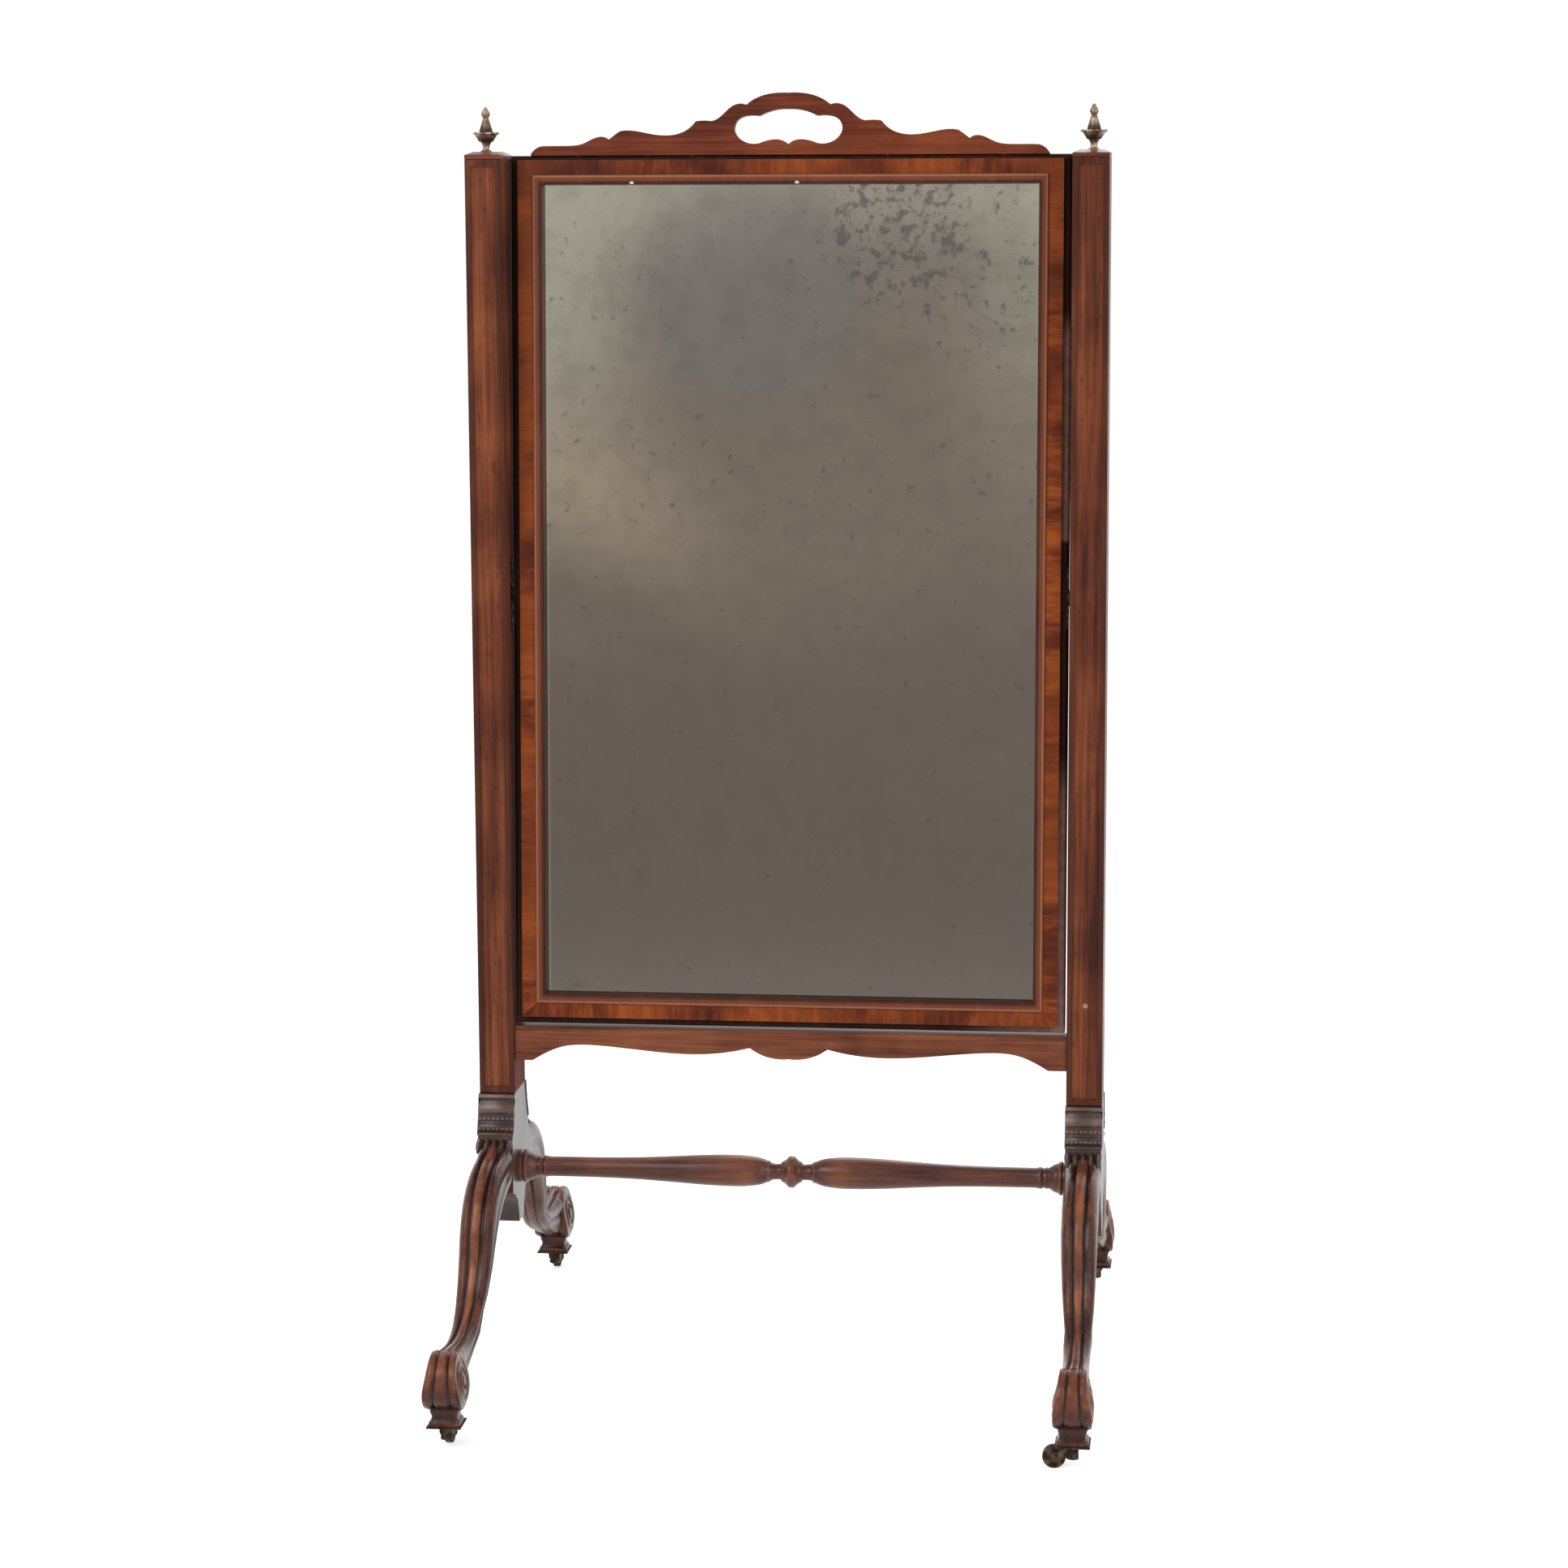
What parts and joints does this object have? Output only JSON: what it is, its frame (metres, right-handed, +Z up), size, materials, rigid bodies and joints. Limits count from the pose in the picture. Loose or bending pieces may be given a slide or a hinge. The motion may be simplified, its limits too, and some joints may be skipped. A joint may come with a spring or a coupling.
{
  "type": "cheval mirror",
  "caption": "Free-standing full-length mirror: framed glass with a pierced cresting tilts between two posts on scrolled legs with castors.",
  "frame": {"origin": "on the floor, at the middle of the stand's outline", "axes": "+X to the right as the glass is faced, +Y to the back, +Z up; the glass faces -Y"},
  "size_m": [0.7308, 0.77, 1.4644],
  "materials": {
    "aged_brass": "aged",
    "backing_wood": "plain",
    "carved_wood": "polished",
    "castor_bronze": "dark",
    "crossbanded_veneer": "polished",
    "lipping_wood": "polished",
    "mirror_glass": "foxed silvering",
    "moulding_wood": "polished",
    "pivot_brass": "aged",
    "polished_wood": "polished",
    "steel_screws": "plain",
    "turned_and_carved_wood": "polished"
  },
  "bodies": {
    "stand": {"apron": "polished_wood", "block_bands_left": "carved_wood", "block_bands_right": "carved_wood", "castor_plate_front_left": "castor_bronze", "castor_plate_front_right": "castor_bronze", "castor_plate_rear_left": "castor_bronze", "castor_plate_rear_right": "castor_bronze", "castor_screws": "castor_bronze", "finial_left": "aged_brass", "finial_right": "aged_brass", "leg_block_left": "polished_wood", "leg_block_right": "polished_wood", "leg_front_left": "turned_and_carved_wood", "leg_front_right": "turned_and_carved_wood", "leg_rear_left": "turned_and_carved_wood", "leg_rear_right": "turned_and_carved_wood", "pivot_socket_left": "pivot_brass", "pivot_socket_right": "pivot_brass", "pivot_socket_screws": "pivot_brass", "post_cap_left": "polished_wood", "post_cap_right": "polished_wood", "post_left": "polished_wood", "post_right": "polished_wood", "stretcher": "turned_and_carved_wood"},
    "mirror_frame": {"back_batten": "backing_wood", "backboard_lower": "backing_wood", "backboard_screws": "steel_screws", "backboard_upper": "backing_wood", "cresting": "polished_wood", "cresting_dowels": "polished_wood", "crossbanding_bottom": "crossbanded_veneer", "crossbanding_left": "crossbanded_veneer", "crossbanding_right": "crossbanded_veneer", "crossbanding_top": "crossbanded_veneer", "frame_rail_bottom": "polished_wood", "frame_rail_top": "polished_wood", "frame_stile_left": "polished_wood", "frame_stile_right": "polished_wood", "glass_moulding": "moulding_wood", "glazing_blocks": "backing_wood", "lipping": "lipping_wood", "mirror_plate": "mirror_glass", "pivot_plate_left": "pivot_brass", "pivot_plate_right": "pivot_brass", "pivot_plate_screws": "pivot_brass", "pivot_washer_left": "pivot_brass", "pivot_washer_right": "pivot_brass"},
    "castor_front_left": {"castor_horn_front_left": "castor_bronze", "castor_axle_front_left": "castor_bronze"},
    "wheel_front_left": {"castor_wheel_front_left": "castor_bronze"},
    "castor_front_right": {"castor_horn_front_right": "castor_bronze", "castor_axle_front_right": "castor_bronze"},
    "wheel_front_right": {"castor_wheel_front_right": "castor_bronze"},
    "castor_rear_left": {"castor_horn_rear_left": "castor_bronze", "castor_axle_rear_left": "castor_bronze"},
    "wheel_rear_left": {"castor_wheel_rear_left": "castor_bronze"},
    "castor_rear_right": {"castor_horn_rear_right": "castor_bronze", "castor_axle_rear_right": "castor_bronze"},
    "wheel_rear_right": {"castor_wheel_rear_right": "castor_bronze"}
  },
  "joints": [
    {"name": "mirror_tilt", "type": "hinge", "parent": "stand", "child": "mirror_frame", "pos_m": [0, 0, 0.9002], "axis": [1, 0, 0], "range_deg": [-27, 33]},
    {"name": "swivel_front_left", "type": "hinge", "parent": "stand", "child": "castor_front_left", "pos_m": [-0.3418, -0.3522, 0.02], "axis": [0, 0, 1], "continuous": true},
    {"name": "roll_front_left", "type": "hinge", "parent": "castor_front_left", "child": "wheel_front_left", "pos_m": [-0.3418, -0.3322, 0.0127], "axis": [-1, 0, 0], "continuous": true},
    {"name": "swivel_front_right", "type": "hinge", "parent": "stand", "child": "castor_front_right", "pos_m": [0.3418, -0.3522, 0.02], "axis": [0, 0, 1], "continuous": true},
    {"name": "roll_front_right", "type": "hinge", "parent": "castor_front_right", "child": "wheel_front_right", "pos_m": [0.3218, -0.3522, 0.0127], "axis": [0, -1, 0], "continuous": true},
    {"name": "swivel_rear_left", "type": "hinge", "parent": "stand", "child": "castor_rear_left", "pos_m": [-0.3418, 0.3522, 0.02], "axis": [0, 0, 1], "continuous": true},
    {"name": "roll_rear_left", "type": "hinge", "parent": "castor_rear_left", "child": "wheel_rear_left", "pos_m": [-0.3418, 0.3722, 0.0127], "axis": [-1, 0, 0], "continuous": true},
    {"name": "swivel_rear_right", "type": "hinge", "parent": "stand", "child": "castor_rear_right", "pos_m": [0.3418, 0.3522, 0.02], "axis": [0, 0, 1], "continuous": true},
    {"name": "roll_rear_right", "type": "hinge", "parent": "castor_rear_right", "child": "wheel_rear_right", "pos_m": [0.32448, 0.3622, 0.0127], "axis": [-0.5, -0.866, 0], "continuous": true}
  ]
}
